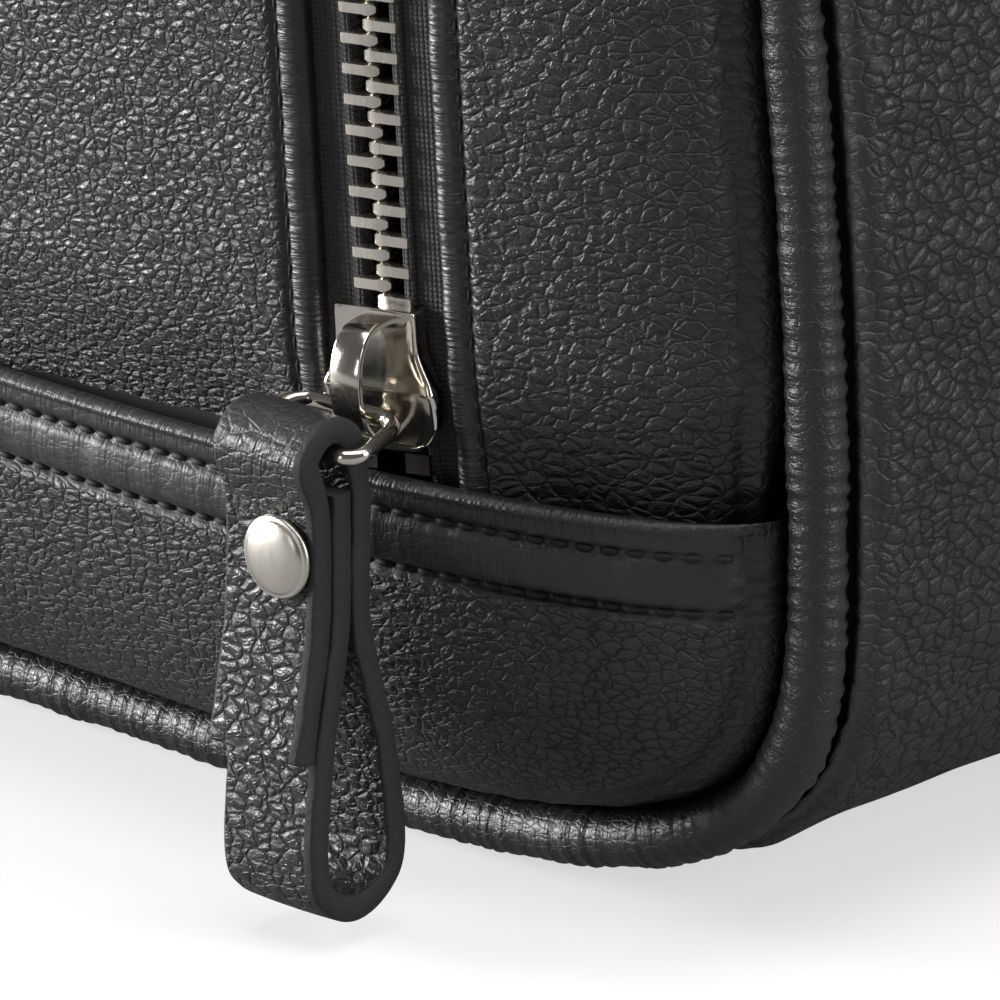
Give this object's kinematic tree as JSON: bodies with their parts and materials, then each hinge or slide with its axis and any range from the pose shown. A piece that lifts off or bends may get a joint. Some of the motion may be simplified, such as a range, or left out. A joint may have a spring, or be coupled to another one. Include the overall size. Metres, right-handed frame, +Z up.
{
  "type": "toiletry bag",
  "caption": "Leather toiletry bag with a piped bulging front, a zipped drop-down front door and a riveted leather pull tab.",
  "frame": {"origin": "middle of the base's underside, where the bag stands", "axes": "+X to the right seen from the front, -Y out of the front, +Z up"},
  "size_m": [0.2432, 0.1156, 0.1674],
  "materials": {
    "black_leather": "pebbled, semi-matt",
    "black_lining": "matt",
    "black_tape": "woven",
    "grey_board": "matt",
    "nickel": "polished nickel"
  },
  "bodies": {
    "bag": {"front_lower_panel": "black_leather", "front_lower_lining": "black_lining", "door_root": "black_leather", "door_root_lining": "black_lining", "front_border": "black_leather", "front_border_lining": "black_lining", "rear_panel": "black_leather", "rear_lining": "black_lining", "front_piping": "black_leather", "rear_piping": "black_leather", "gusset_lower": "black_leather", "gusset_top": "black_leather", "gusset_lining": "black_lining", "base_board": "grey_board", "zip_row_bag": "nickel", "zip_row_root_right": "nickel", "zip_row_root_left": "nickel", "zip_tape_bag": "black_tape", "zip_tape_root_right": "black_tape", "zip_tape_root_left": "black_tape", "zip_stop_bag": "nickel", "zip_stop_root": "nickel", "zip_end_stop": "nickel"},
    "door": {"door_panel": "black_leather", "door_lining": "black_lining", "zip_row_door": "nickel", "zip_tape_door": "black_tape"},
    "slider": {"slider_body": "nickel", "slider_bridge": "nickel"},
    "ring": {"pull_ring": "nickel"},
    "tab": {"pull_tab": "black_leather", "rivet_cap": "nickel", "rivet_back": "nickel"}
  },
  "joints": [
    {"name": "door_fold", "type": "hinge", "parent": "bag", "child": "door", "pos_m": [0, -0.0572, 0.05045], "axis": [1, 0, 0], "range_deg": [0, 90]},
    {"name": "slider_travel", "type": "slide", "parent": "bag", "child": "slider", "axis": [-0.0688, -0.0016, 0.9976], "range_m": [0, 0.058], "deforming": ["zip_row_bag", "zip_row_door", "zip_row_root_right", "zip_row_root_left"]},
    {"name": "ring_swing", "type": "hinge", "parent": "slider", "child": "ring", "pos_m": [0.08582, -0.05629, 0.04233], "axis": [-0.9979, -0.0644, -0.0009], "range_deg": [0, 42]},
    {"name": "tab_swing", "type": "hinge", "parent": "ring", "child": "tab", "pos_m": [0.08476, -0.0632, 0.0405], "axis": [-0.9999, -0.0121, -0.0014], "range_deg": [0, 40]}
  ]
}
